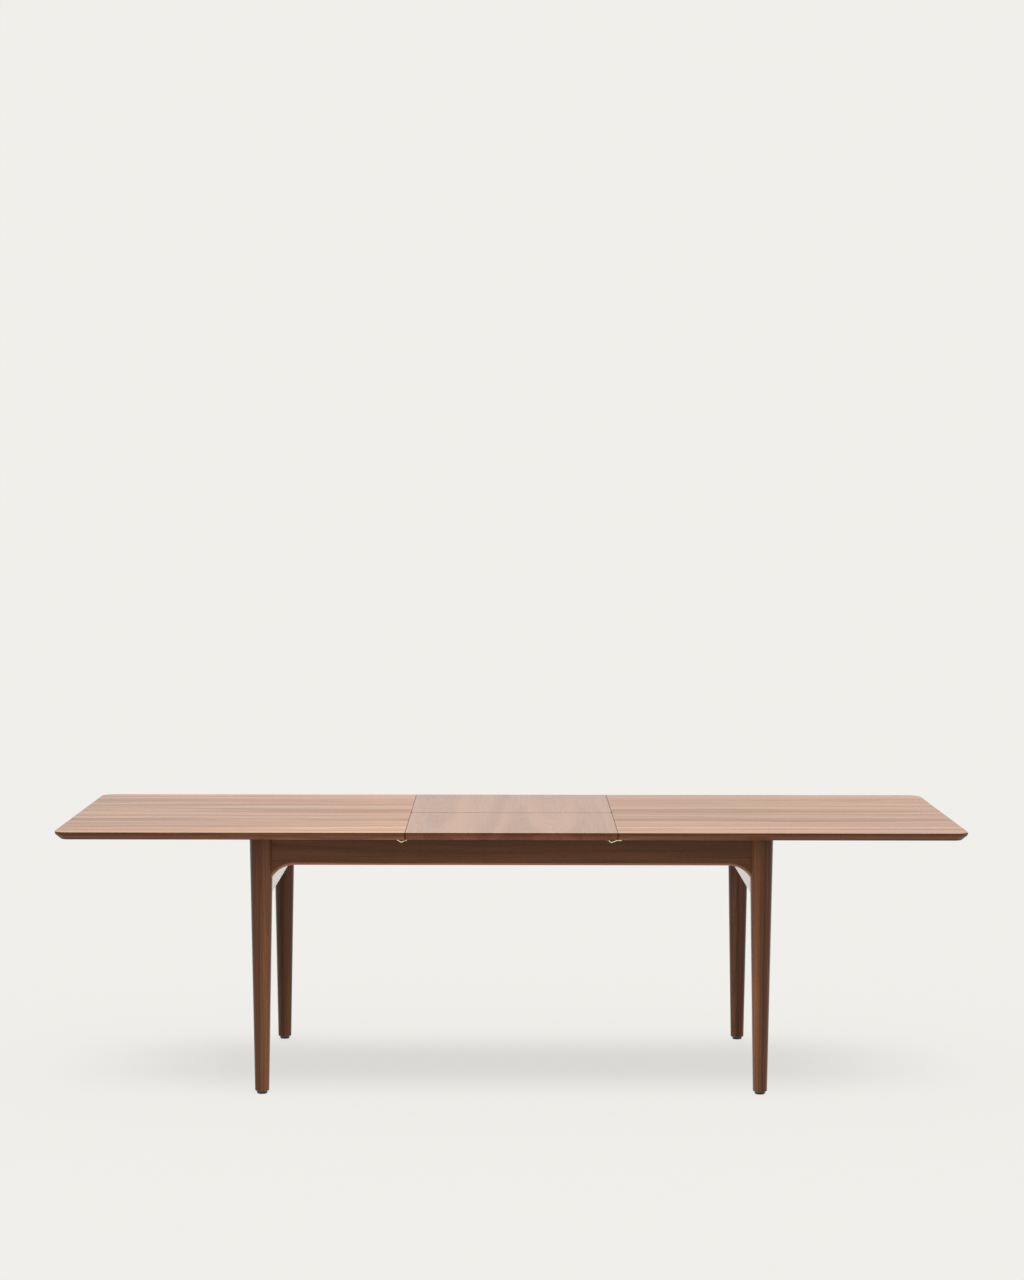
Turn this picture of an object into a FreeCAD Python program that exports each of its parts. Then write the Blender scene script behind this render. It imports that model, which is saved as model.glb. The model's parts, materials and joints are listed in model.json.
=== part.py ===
import FreeCAD, Part
import math
import os
import Sketcher

# Extending dining table, shown extended: two top halves on runners, a two-panel
# fold-away leaf on swing arms, haunched aprons, low end rails, round tapered legs.
# Frame: +X along the table, +Y to the rear, +Z up, origin on the floor under the middle.

V = FreeCAD.Vector
Rot = FreeCAD.Rotation
doc = FreeCAD.newDocument("extending_table")
sheet = doc.addObject("Spreadsheet::Sheet", "Sizes")


class Dim:
    """A length that carries its number and the sheet expression it comes from."""

    def __init__(self, value, expr):
        self.v = float(value)
        self.e = expr

    def __add__(self, o):
        o = dim(o)
        return Dim(self.v + o.v, "(%s + %s)" % (self.e, o.e))

    def __radd__(self, o):
        return dim(o) + self

    def __sub__(self, o):
        o = dim(o)
        return Dim(self.v - o.v, "(%s - %s)" % (self.e, o.e))

    def __rsub__(self, o):
        return dim(o) - self

    def __mul__(self, o):
        o = dim(o)
        return Dim(self.v * o.v, "(%s * %s)" % (self.e, o.e))

    def __rmul__(self, o):
        return dim(o) * self

    def __truediv__(self, o):
        o = dim(o)
        return Dim(self.v / o.v, "(%s / %s)" % (self.e, o.e))

    def __neg__(self):
        return Dim(-self.v, "(0 - %s)" % self.e)


def dim(x):
    return x if isinstance(x, Dim) else Dim(x, "(%r)" % float(x))


row_count = 0


def size(alias, value):
    """One driving dimension: a sheet row with an alias."""
    global row_count
    row_count += 1
    sheet.set("A%d" % row_count, alias)
    sheet.set("B%d" % row_count, repr(float(value)))
    sheet.setAlias("B%d" % row_count, alias)
    return Dim(value, "Sizes." + alias)


# ---- driving dimensions, millimetres -------------------------------------------------
full_len = size("full_length", 2600)
leaf_len = size("leaf_length", 604)
top_w = size("top_width", 1000)
top_z = size("top_height", 766)
top_t = size("top_thickness", 23)
edge_land = size("edge_land", 8)
edge_in = size("edge_undercut", 19)
corner_r = size("plan_corner_radius", 40)
arris = size("top_arris", 0.8)
joint_arris = size("joint_arris", 0.5)
fold_arris = size("fold_arris", 2.0)
edge_blend = size("edge_blend_radius", 8)
edge_low = size("edge_low_radius", 6)
joint_gap = size("joint_half_gap", 0.4)
fold_gap = size("fold_half_gap", 0.8)
rest_gap = size("frame_to_top_gap", 0.5)

leg_x = size("leg_axis_x", 717)
leg_y = size("leg_axis_y", 405)
leg_rt = size("leg_radius_top", 33.9)
leg_rb = size("leg_radius_foot", 20.5)
glide_h = size("glide_height", 8)
glide_r = size("glide_radius", 15)
stem_r = size("glide_stem_radius", 4)
stem_l = size("glide_stem_length", 18)

apron_t = size("apron_thickness", 22)
apron_y = size("apron_mid_y", 407)
apron_zb = size("apron_bottom", 662)
haunch_x = size("haunch_start_x", 622)
haunch_r = size("haunch_radius", 75)
soft_edge = size("frame_edge_round", 3.5)
apron_edge = size("apron_outer_edge_round", 8)
cope = size("cope_clearance", 0.1)
tenon_t = size("tenon_thickness", 10)
tenon_in = size("tenon_end_from_axis", 6)
tenon_z0 = size("apron_tenon_bottom", 675)
tenon_z1 = size("apron_tenon_top", 732)

rail_x = size("end_rail_mid_x", 705)
rail_t = size("end_rail_thickness", 22)
rail_z0 = size("end_rail_bottom", 567.5)
rail_z1 = size("end_rail_top", 643)

guide_t = size("guide_thickness", 14)
guide_x = size("guide_half_length", 682)
guide_z0 = size("guide_bottom", 702)
guide_z1 = size("guide_top", 740)
slot_z0 = size("guide_slot_bottom", 714)
slot_z1 = size("guide_slot_top", 728)
slot_d = size("guide_slot_depth", 8)
run_gap = size("runner_side_gap", 0.6)
run_w = size("runner_width", 16.4)
run_z0 = size("runner_bottom", 703)
run_x0 = size("runner_outer_end", 655)
run_x1 = size("runner_inner_end", 305)
stop_len = size("runner_stop_length", 10)

cross_x = size("cross_rail_mid_x", 333)
cross_t = size("cross_rail_thickness", 22)
cross_z0 = size("cross_rail_bottom", 666)
cross_z1 = size("cross_rail_top", 700)
stub_t = size("stub_thickness", 12)
stub_h = size("stub_height", 22)
stub_d = size("stub_depth", 8)

arm_len = size("arm_length", 80)
arm_d = size("arm_rise", 56.5685)
piv_drop = size("leaf_pivot_drop", 9)
piv_yf = size("leaf_pivot_front_y", 330)
piv_yr = size("leaf_pivot_rear_y", 130)
shaft_r = size("shaft_radius", 5)
shaft_l = size("shaft_length", 686)
bush_ro = size("bush_radius", 7)
bush_fr = size("bush_flange_radius", 10)
bush_ft = size("bush_flange_thickness", 3)
run_fit = size("running_clearance", 0.05)
collar_r = size("collar_radius", 10)
collar_l = size("collar_length", 9)
arm_x = size("arm_mid_x", 287)
arm_t = size("arm_thickness", 5)
arm_w = size("arm_width", 14)
hub_l = size("arm_hub_length", 10)
pin_r = size("arm_pin_radius", 3)
web_x = size("bracket_web_x", 279)
sheet_t = size("bracket_sheet", 2)
brk_w = size("bracket_width", 34)
brk_f = size("bracket_flange", 26)

hinge_y = size("fold_plate_length", 32)
hinge_z = size("fold_plate_depth", 12)
hinge_t = size("fold_plate_thickness", 1.5)
hinge_er = size("fold_eye_radius", 1.3)
hinge_pr = size("fold_pin_radius", 0.6)
hinge_up = size("fold_axis_above_top", 0.15)

latch_y = size("catch_pivot_y", 466)
latch_xl = size("catch_a_pivot_from_joint", 34)
latch_sink = size("catch_a_pivot_sink", 2.7)
recess_r = size("catch_a_recess_radius", 11.3)
latch_xr = size("catch_b_pivot_from_joint", 7)
strip_t = size("catch_strip", 2.4)
strip_w = size("catch_width", 10)
latch_drop = size("catch_drop", 10.2)
open_deg = size("catch_open_angle", 24)
peg_r = size("peg_radius", 2.5)
peg_out = size("peg_length_out", 7.2)
peg_in = size("peg_length_in", 10)
peg_al = size("catch_a_peg_radius", 40)
peg_ar = size("catch_b_peg_radius", 35)

screw_r = size("screw_shank_radius", 1.9)
screw_hr = size("screw_head_radius", 4)
screw_hh = size("screw_head_height", 2.4)
doc.recompute()

under_z = top_z - top_t
frame_top = under_z - rest_gap
half_in = leaf_len / 2 + joint_gap
leaf_end = leaf_len / 2 - joint_gap
guide_face = apron_y - apron_t / 2          # inner face of the apron
guide_in = guide_face - guide_t             # inner face of the guide rail
shaft_yf = piv_yf - arm_d
shaft_yr = piv_yr - arm_d
shaft_z = under_z - piv_drop - arm_d

parts = {}                                  # node name -> document object


# ---- helpers -------------------------------------------------------------------------
def plane(body, role):
    return [f for f in body.Origin.OriginFeatures if f.Role == role][0]


def new_body(label):
    b = doc.addObject("PartDesign::Body", "body_" + label)
    b.Label = label
    parts[label] = b
    return b


def place(obj, x=0, y=0, z=0, rot=None):
    if rot is not None:
        obj.Placement = FreeCAD.Placement(V(0, 0, 0), rot)
    for axis, value in (("x", x), ("y", y), ("z", z)):
        d = dim(value)
        obj.setExpression("Placement.Base." + axis, d.e)
    return obj


def sketch(body, name, role, offset=None):
    s = body.newObject("Sketcher::SketchObject", name)
    s.AttachmentSupport = [(plane(body, role), "")]
    s.MapMode = "FlatFace"
    if offset is not None:
        s.setExpression("AttachmentOffset.Base.z", dim(offset).e)
    return s


def fix(s, geo, pos, x, y):
    for kind, d in (("DistanceX", dim(x)), ("DistanceY", dim(y))):
        k = s.addConstraint(Sketcher.Constraint(kind, geo, pos, d.v))
        s.setExpression("Constraints[%d]" % k, d.e)


def outline(s, pts, arcs=None):
    """Closed outline through pts. arcs: {segment: (radius, centre x, centre y)}."""
    arcs = arcs or {}
    pts = [(dim(x), dim(y)) for x, y in pts]
    n = len(pts)
    first = s.GeometryCount
    order = []
    for i in range(n):
        a, b = pts[i], pts[(i + 1) % n]
        pa, pb = V(a[0].v, a[1].v, 0), V(b[0].v, b[1].v, 0)
        if i in arcs:
            r, cx, cy = arcs[i]
            c = V(cx, cy, 0)
            forward = (pa - c).cross(pb - c).z > 0
            lo, hi = (pa - c, pb - c) if forward else (pb - c, pa - c)
            a0, a1 = math.atan2(lo.y, lo.x), math.atan2(hi.y, hi.x)
            g = s.addGeometry(Part.ArcOfCircle(Part.Circle(c, V(0, 0, 1), dim(r).v), a0, a1), False)
            order.append((g, 1 if forward else 2, 2 if forward else 1))
            k = s.addConstraint(Sketcher.Constraint("Radius", g, dim(r).v))
            s.setExpression("Constraints[%d]" % k, dim(r).e)
        else:
            g = s.addGeometry(Part.LineSegment(pa, pb), False)
            order.append((g, 1, 2))
    for i in range(n):
        g, a, b = order[i]
        h, c, d = order[(i + 1) % n]
        s.addConstraint(Sketcher.Constraint("Coincident", g, b, h, c))
    for i in range(n):
        g, a, b = order[i]
        fix(s, g, a, pts[i][0], pts[i][1])
    return first


def rect(s, x0, x1, y0, y1):
    return outline(s, [(x0, y0), (x1, y0), (x1, y1), (x0, y1)])


def circle(s, x, y, r):
    g = s.addGeometry(Part.Circle(V(dim(x).v, dim(y).v, 0), V(0, 0, 1), dim(r).v), False)
    fix(s, g, 3, x, y)
    k = s.addConstraint(Sketcher.Constraint("Radius", g, dim(r).v))
    s.setExpression("Constraints[%d]" % k, dim(r).e)


def pad(body, s, length, back=False, both=False):
    f = body.newObject("PartDesign::Pad", "Pad_" + s.Name)
    f.Profile = s
    f.setExpression("Length", dim(length).e)
    f.Reversed = back
    if both:
        f.SideType = "Symmetric"
    doc.recompute()
    return f


def pocket(body, s, length, back=False):
    before = body.Shape.Volume
    f = body.newObject("PartDesign::Pocket", "Pocket_" + s.Name)
    f.Profile = s
    f.setExpression("Length", dim(length).e)
    f.Reversed = back
    doc.recompute()
    if not body.Shape.Volume < before - 0.5:
        raise RuntimeError("no cut: " + body.Label + " " + s.Name)
    return f


def turn(body, s, axis="V_Axis", kind="PartDesign::Revolution"):
    f = body.newObject(kind, kind[12:] + "_" + s.Name)
    f.Profile = s
    f.ReferenceAxis = (s, [axis])
    f.Angle = 360
    doc.recompute()
    return f


def edges_where(feature, test):
    out = []
    for i, e in enumerate(feature.Shape.Edges, 1):
        p = e.valueAt((e.FirstParameter + e.LastParameter) / 2)
        if test(p, e):
            out.append("Edge%d" % i)
    if not out:
        raise RuntimeError("no edges on " + feature.Name)
    return out


def round_edges(body, feature, test, radius, name):
    f = body.newObject("PartDesign::Fillet", name)
    f.Base = (feature, edges_where(feature, test))
    f.setExpression("Radius", dim(radius).e)
    doc.recompute()
    return f


def near(a, b, tol=0.02):
    return abs(a - dim(b).v) < tol


def cyl(label, r, length, x=0, y=0, z=0, along="z"):
    """A cylinder whose axis starts at x, y, z and runs along +x, +y or +z."""
    c = doc.addObject("Part::Cylinder", label)
    c.setExpression("Radius", dim(r).e)
    c.setExpression("Height", dim(length).e)
    rot = {"z": Rot(), "x": Rot(V(0, 1, 0), 90), "y": Rot(V(1, 0, 0), -90)}[along]
    return place(c, x, y, z, rot)


def box(label, x0, x1, y0, y1, z0, z1):
    b = doc.addObject("Part::Box", label)
    for prop, lo, hi in (("Length", x0, x1), ("Width", y0, y1), ("Height", z0, z1)):
        b.setExpression(prop, (dim(hi) - dim(lo)).e)
    return place(b, x0, y0, z0)


def cone(label, r0, r1, length, x=0, y=0, z=0):
    c = doc.addObject("Part::Cone", label)
    c.setExpression("Radius1", dim(r0).e)
    c.setExpression("Radius2", dim(r1).e)
    c.setExpression("Height", dim(length).e)
    return place(c, x, y, z)


def fuse(label, *objs):
    f = doc.addObject("Part::MultiFuse", label)
    f.Shapes = list(objs)
    f.Refine = True
    return f


def cut(label, base, tool):
    f = doc.addObject("Part::Cut", label)
    f.Base = base
    f.Tool = tool
    f.Refine = True
    return f


def group(label, master, placements):
    """Identical pieces in one node: separate solids made from one master object."""
    doc.recompute()
    f = doc.addObject("Part::Feature", "group_" + label)
    f.Label = label
    solids = []
    for p in placements:
        for s in master.Shape.Solids:
            c = s.copy()
            c.Placement = p.multiply(c.Placement)
            solids.append(c)
    f.Shape = Part.makeCompound(solids)
    f.Placement = FreeCAD.Placement()
    parts[label] = f
    return f


def at(x, y, z, rot=None):
    return FreeCAD.Placement(V(dim(x).v, dim(y).v, dim(z).v), rot or Rot())


HALF_TURN = Rot(V(0, 0, 1), 180)

# ---- legs ----------------------------------------------------------------------------
leg_slope = (leg_rt - leg_rb) / (frame_top - glide_h)


def leg_radius(z):
    return leg_rb + leg_slope * (dim(z) - glide_h)


def make_leg(label, sx, sy):
    """Round tapered leg. sx, sy: the sides that the apron and the end rail enter from."""
    b = new_body(label)
    s = sketch(b, label + "_profile", "XZ_Plane")
    outline(s, [(0, glide_h), (leg_rb - 2, glide_h), (leg_radius(glide_h + 2), glide_h + 2),
                (leg_rt, frame_top), (0, frame_top)])
    turn(b, s)
    # socket for the glide's stem
    s = sketch(b, label + "_stem_hole", "XY_Plane", glide_h)
    circle(s, 0, 0, stem_r + 0.05)
    pocket(b, s, stem_l + 1, back=True)
    # mortise for the apron's tenon
    off = (leg_y - apron_y) if sy > 0 else (apron_y - leg_y)
    s = sketch(b, label + "_apron_mortise", "YZ_Plane", sx * (tenon_in - 0.3))
    rect(s, off - tenon_t / 2 - 0.1, off + tenon_t / 2 + 0.1, tenon_z0 - 0.1, tenon_z1 + 0.1)
    pocket(b, s, 40, back=sx > 0)
    # mortise for the end rail's tenon
    off = sx * (leg_x - rail_x)
    s = sketch(b, label + "_rail_mortise", "XZ_Plane", -sy * (tenon_in - 0.3))
    rect(s, off - tenon_t / 2 - 0.1, off + tenon_t / 2 + 0.1, rail_z0 + 9.9, rail_z1 - 9.9)
    pocket(b, s, 40, back=sy < 0)
    place(b, -sx * leg_x, -sy * leg_y, 0)


make_leg("leg_front_left", 1, 1)
make_leg("leg_front_right", -1, 1)
make_leg("leg_rear_left", 1, -1)
make_leg("leg_rear_right", -1, -1)

# foot glide: a rounded disc with a stem
glide = doc.addObject("PartDesign::Body", "glide_master")
s = sketch(glide, "glide_profile", "XZ_Plane")
outline(s, [(0, 0), (glide_r - 2, 0), (glide_r, 2), (glide_r, glide_h), (stem_r, glide_h),
            (stem_r, glide_h + stem_l), (0, glide_h + stem_l)])
turn(glide, s)
group("foot_glides", glide, [at(sx * leg_x, sy * leg_y, 0) for sx in (-1, 1) for sy in (-1, 1)])

# ---- aprons --------------------------------------------------------------------------
guide_screw_x = [-600, -380, -120, 120, 380, 600]
guide_screw_z = 734.0


def make_apron(label, rot):
    """Haunched apron, coped round the legs, with a tenon at each end. Local y 0 is its middle."""
    b = new_body(label)
    s = sketch(b, label + "_face", "XZ_Plane")
    # each haunch is a quarter circle whose low end lies inside the round leg
    hx, hz = haunch_x + haunch_r, apron_zb - haunch_r
    pts = [(-leg_x, frame_top), (-leg_x, hz), (-hx, hz), (-haunch_x, apron_zb),
           (haunch_x, apron_zb), (hx, hz), (leg_x, hz), (leg_x, frame_top)]
    outline(s, pts, {2: (haunch_r, -haunch_x.v, hz.v), 4: (haunch_r, haunch_x.v, hz.v)})
    p = pad(b, s, apron_t, both=True)
    outer = round_edges(
        b, p, lambda q, e: hz.v + 1 < q.z < apron_zb.v + 0.1 and abs(q.x) < hx.v and near(q.y, -apron_t / 2),
        apron_edge, label + "_outer_round")
    round_edges(
        b, outer, lambda q, e: hz.v + 1 < q.z < apron_zb.v + 0.1 and abs(q.x) < hx.v and near(q.y, apron_t / 2),
        soft_edge, label + "_inner_round")
    for sx in (-1, 1):
        g = sketch(b, "%s_cope_%s" % (label, "r" if sx > 0 else "l"), "XZ_Plane", leg_y - apron_y)
        z0, z1 = hz - 15, frame_top + 5
        ra, rb = leg_radius(z0) + cope, leg_radius(z1) + cope
        outline(g, [(sx * leg_x, z0), (sx * (leg_x - ra), z0), (sx * (leg_x - rb), z1), (sx * leg_x, z1)])
        k = g.addGeometry(Part.LineSegment(V(sx * leg_x.v, z0.v, 0), V(sx * leg_x.v, z0.v + 50, 0)), True)
        fix(g, k, 1, sx * leg_x, z0)
        fix(g, k, 2, sx * leg_x, z0 + 50)
        turn(b, g, "Axis0", "PartDesign::Groove")
    for sx in (-1, 1):
        t = sketch(b, "%s_tenon_%s" % (label, "r" if sx > 0 else "l"), "YZ_Plane", sx * (leg_x - tenon_in))
        rect(t, -tenon_t / 2, tenon_t / 2, tenon_z0, tenon_z1)
        pad(b, t, 34, back=sx > 0)
    # stub mortises for the cross rails and pilot holes for the guide rail's screws, in the inner face
    m = sketch(b, label + "_mortises", "XZ_Plane", -(apron_t / 2))
    zc = (cross_z0 + cross_z1) / 2
    for sx in (-1, 1):
        rect(m, sx * cross_x - stub_t / 2 - 0.1, sx * cross_x + stub_t / 2 + 0.1,
             zc - stub_h / 2 - 0.1, zc + stub_h / 2 + 0.1)
    pocket(b, m, stub_d + 0.3, back=True)
    h = sketch(b, label + "_pilots", "XZ_Plane", -(apron_t / 2))
    for x in guide_screw_x:
        circle(h, x, guide_screw_z, screw_r + 0.05)
    pocket(b, h, 14, back=True)
    place(b, 0, -apron_y if rot is None else apron_y, 0, rot)


make_apron("apron_front", None)
make_apron("apron_rear", HALF_TURN)

# ---- low end rails -------------------------------------------------------------------


def make_end_rail(label, rot):
    """Low end rail between a front and a rear leg. Local x 0 is its middle; legs lie on its outer side."""
    b = new_body(label)
    s = sketch(b, label + "_face", "YZ_Plane")
    rect(s, -leg_y, leg_y, rail_z0, rail_z1)
    p = pad(b, s, rail_t, both=True)
    round_edges(b, p, lambda q, e: abs(q.y) < 1 and abs(abs(q.x) - rail_t.v / 2) < 0.01, soft_edge, label + "_round")
    off = leg_x - rail_x
    for sy in (-1, 1):
        g = sketch(b, "%s_cope_%s" % (label, "r" if sy > 0 else "f"), "YZ_Plane", -off)
        z0, z1 = rail_z0 - 10, rail_z1 + 10
        ra, rb = leg_radius(z0) + cope, leg_radius(z1) + cope
        outline(g, [(sy * leg_y, z0), (sy * (leg_y - ra), z0), (sy * (leg_y - rb), z1), (sy * leg_y, z1)])
        k = g.addGeometry(Part.LineSegment(V(sy * leg_y.v, z0.v, 0), V(sy * leg_y.v, z0.v + 50, 0)), True)
        fix(g, k, 1, sy * leg_y, z0)
        fix(g, k, 2, sy * leg_y, z0 + 50)
        turn(b, g, "Axis0", "PartDesign::Groove")
    for sy in (-1, 1):
        t = sketch(b, "%s_tenon_%s" % (label, "r" if sy > 0 else "f"), "XZ_Plane", -sy * (leg_y - tenon_in))
        rect(t, -tenon_t / 2, tenon_t / 2, rail_z0 + 10, rail_z1 - 10)
        pad(b, t, 34, back=sy < 0)
    place(b, -rail_x if rot is None else rail_x, 0, 0, rot)


make_end_rail("end_rail_left", None)
make_end_rail("end_rail_right", HALF_TURN)

# ---- guide rails and stops -----------------------------------------------------------


def make_guide(label, rot):
    """Grooved rail on the apron's inner face. Local y 0 is that face, +y points inwards."""
    b = new_body(label)
    s = sketch(b, label + "_section", "YZ_Plane", -guide_x)
    outline(s, [(0, guide_z0), (guide_t, guide_z0), (guide_t, slot_z0), (guide_t - slot_d, slot_z0),
                (guide_t - slot_d, slot_z1), (guide_t, slot_z1), (guide_t, guide_z1), (0, guide_z1)])
    pad(b, s, guide_x * 2)
    h = sketch(b, label + "_holes", "XZ_Plane", -guide_t)
    for x in guide_screw_x:
        circle(h, x, guide_screw_z, screw_r + 0.2)
    pocket(b, h, guide_t, back=True)
    k = sketch(b, label + "_head_seats", "XZ_Plane", -guide_t)
    for x in guide_screw_x:
        circle(k, x, guide_screw_z, screw_hr + 0.2)
    pocket(b, k, screw_hh + 0.4, back=True)
    place(b, 0, -guide_face if rot is None else guide_face, 0, rot)


make_guide("guide_rail_front", None)
make_guide("guide_rail_rear", HALF_TURN)

stop = box("stop_master", -stop_len / 2, stop_len / 2, -(slot_d - 0.4) / 2, (slot_d - 0.4) / 2, 0, slot_z1 - slot_z0)
stop_y = guide_in + slot_d - (slot_d - 0.4) / 2
group("runner_stops", stop, [at(sx * (guide_x - stop_len / 2), sy * stop_y, slot_z0) for sx in (-1, 1) for sy in (-1, 1)])

# ---- cross rails ---------------------------------------------------------------------


def make_cross(label, sx):
    b = new_body(label)
    s = sketch(b, label + "_section", "XZ_Plane", -guide_face)
    rect(s, -cross_t / 2, cross_t / 2, cross_z0, cross_z1)
    p = pad(b, s, guide_face * 2)
    round_edges(b, p, lambda q, e: near(q.z, cross_z0) and abs(q.y) < 1, 2, label + "_round")
    zc = (cross_z0 + cross_z1) / 2
    for sy in (-1, 1):
        t = sketch(b, "%s_stub_%s" % (label, "r" if sy > 0 else "f"), "XZ_Plane", -sy * (guide_face + stub_d))
        rect(t, -stub_t / 2, stub_t / 2, zc - stub_h / 2, zc + stub_h / 2)
        pad(b, t, stub_d + 4, back=sy < 0)
    h = sketch(b, label + "_bores", "YZ_Plane", cross_t / 2)
    for y in (shaft_yf, shaft_yr):
        circle(h, -y, shaft_z, bush_ro + 0.05)
    pocket(b, h, cross_t)
    place(b, sx * cross_x, 0, 0)


make_cross("cross_rail_left", -1)
make_cross("cross_rail_right", 1)

# flanged bush, axis along x, flange on the inner side
bush = cut("bush_master",
           fuse("bush_body", cyl("bush_barrel", bush_ro, cross_t, 0, 0, 0, "x"),
                cyl("bush_flange", bush_fr, bush_ft, -bush_ft, 0, 0, "x")),
           cyl("bush_bore", shaft_r + run_fit, cross_t + bush_ft + 2, -bush_ft - 1, 0, 0, "x"))
inner = cross_x - cross_t / 2
group("shaft_bushes", bush,
      [at(inner, -y, shaft_z) for y in (shaft_yf, shaft_yr)]
      + [at(-inner, -y, shaft_z, HALF_TURN) for y in (shaft_yf, shaft_yr)])

# ---- screws --------------------------------------------------------------------------


def make_screw(label, length):
    """Countersunk wood screw with a cross recess; head up at z 0, shank down."""
    c = screw_hr
    body = fuse(label + "_solid",
                cyl(label + "_rim", c, 0.5, 0, 0, -0.5),
                cone(label + "_head", screw_r, c, screw_hh - 0.5, 0, 0, -screw_hh),
                cyl(label + "_shank", screw_r, dim(length) - screw_hh - 4, 0, 0, 4 - dim(length)),
                cone(label + "_tip", 0.4, screw_r, 4, 0, 0, -dim(length)))
    cross = fuse(label + "_cross", box(label + "_slot_a", -2.4, 2.4, -0.55, 0.55, -1.4, 1),
                 box(label + "_slot_b", -0.55, 0.55, -2.4, 2.4, -1.4, 1))
    return cut(label, body, cross)


long_screw = make_screw("screw_long", 32)
guide_screw = make_screw("screw_guide", 26)
face_in = Rot(V(1, 0, 0), -90)               # head towards +y
face_out = Rot(V(1, 0, 0), 90)               # head towards -y
face_down = Rot(V(1, 0, 0), 180)             # head down
group("guide_rail_screws", guide_screw,
      [at(x, -(guide_in + 0.3), guide_screw_z, face_in) for x in guide_screw_x]
      + [at(x, guide_in + 0.3, guide_screw_z, face_out) for x in guide_screw_x])

# ---- top halves ----------------------------------------------------------------------
run_y = guide_in - run_gap                   # outer face of the runner
run_mid = run_y - run_w / 2
run_screw_x = [(run_x1 + 30), (run_x1 + 130), (run_x1 + 230), (run_x0 - 25)]


def bevel(body, feature, test, name):
    """Undercut bevel below the edge land: its height in z, its depth inwards."""
    f = body.newObject("PartDesign::Chamfer", name)
    f.Base = (feature, edges_where(feature, test))
    f.ChamferType = "Two distances"
    f.setExpression("Size", (top_t - edge_land).e)
    f.setExpression("Size2", edge_in.e)
    doc.recompute()
    low = [e.valueAt((e.FirstParameter + e.LastParameter) / 2) for e in f.Shape.Edges]
    if not any(near(p.z, top_t - (top_t - edge_land)) or near(p.z, top_t - edge_land) for p in low):
        f.FlipDirection = True
        doc.recompute()
    return f


def make_half(label, rot):
    """Left half in local coordinates, z 0 at its underside."""
    b = new_body(label)
    s = sketch(b, label + "_plan", "XY_Plane")
    rect(s, -full_len / 2, -half_in, -top_w / 2, top_w / 2)
    p = pad(b, s, top_t)
    f = round_edges(b, p, lambda q, e: near(q.x, -full_len / 2) and near(abs(q.y), top_w / 2), corner_r, label + "_corners")
    c = bevel(b, f, lambda q, e: near(q.z, 0) and not near(q.x, -half_in), label + "_bevel")
    blend = round_edges(
        b, c, lambda q, e: near(q.z, top_t - edge_land) and q.x < -half_in.v - 1 and e.Length > 30, edge_blend, label + "_blend")
    low = round_edges(b, blend, lambda q, e: near(q.z, 0) and q.x < -half_in.v - 1 and e.Length > 20, edge_low, label + "_low")
    rim = round_edges(b, low, lambda q, e: near(q.z, top_t) and q.x < -half_in.v - 1, arris, label + "_arris")
    round_edges(b, rim, lambda q, e: near(q.z, top_t) and near(q.x, -half_in), joint_arris, label + "_joint_arris")
    # a round recess for the sunk catch pivot, and pilot holes in the underside: runner screws and catch pivots
    r = sketch(b, label + "_recess", "XY_Plane")
    circle(r, -(leaf_len / 2 + latch_xl), -latch_y, recess_r)
    pocket(b, r, latch_sink, back=True)
    a = sketch(b, label + "_sunk_pilot", "XY_Plane")
    circle(a, -(leaf_len / 2 + latch_xl), -latch_y, peg_r + 0.05)
    pocket(b, a, latch_sink + 12.5, back=True)
    h = sketch(b, label + "_pilots", "XY_Plane")
    for x in run_screw_x:
        for sy in (-1, 1):
            circle(h, -x, sy * run_mid, screw_r + 0.05)
    circle(h, -(leaf_len / 2 + latch_xr), latch_y, peg_r + 0.05)
    pocket(b, h, 13, back=True)
    place(b, 0, 0, under_z, rot)


make_half("tabletop_left", None)
make_half("tabletop_right", HALF_TURN)


def make_runner(label, sy, rot):
    """Tongued runner of the left half; sy -1 is the front one."""
    b = new_body(label)
    s = sketch(b, label + "_section", "YZ_Plane", -run_x0)
    y0, y1, y2 = sy * run_y, sy * (run_y - run_w), sy * (run_y + slot_d - 0.6)
    outline(s, [(y0, run_z0), (y1, run_z0), (y1, under_z), (y0, under_z), (y0, slot_z1 - 0.5), (y2, slot_z1 - 0.5),
                (y2, slot_z0 + 0.5), (y0, slot_z0 + 0.5)])
    p = pad(b, s, run_x0 - run_x1)
    round_edges(b, p, lambda q, e: near(q.z, run_z0) and e.Length > 100, 2, label + "_round")
    h = sketch(b, label + "_holes", "XY_Plane", run_z0)
    for x in run_screw_x:
        circle(h, -x, sy * run_mid, screw_r + 0.2)
    pocket(b, h, under_z - run_z0, back=True)
    k = sketch(b, label + "_counterbores", "XY_Plane", run_z0)
    for x in run_screw_x:
        circle(k, -x, sy * run_mid, screw_hr + 0.5)
    pocket(b, k, under_z + 12 - 32 - run_z0 + screw_hh, back=True)
    place(b, 0, 0, 0, rot)


make_runner("runner_left_front", -1, None)
make_runner("runner_left_rear", 1, None)
make_runner("runner_right_rear", -1, HALF_TURN)
make_runner("runner_right_front", 1, HALF_TURN)
run_head_z = under_z + 12 - 32
for side, sx in (("left", -1), ("right", 1)):
    group("runner_screws_" + side, long_screw,
          [at(sx * x, sy * run_mid, run_head_z, face_down) for x in run_screw_x for sy in (-1, 1)])

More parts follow.
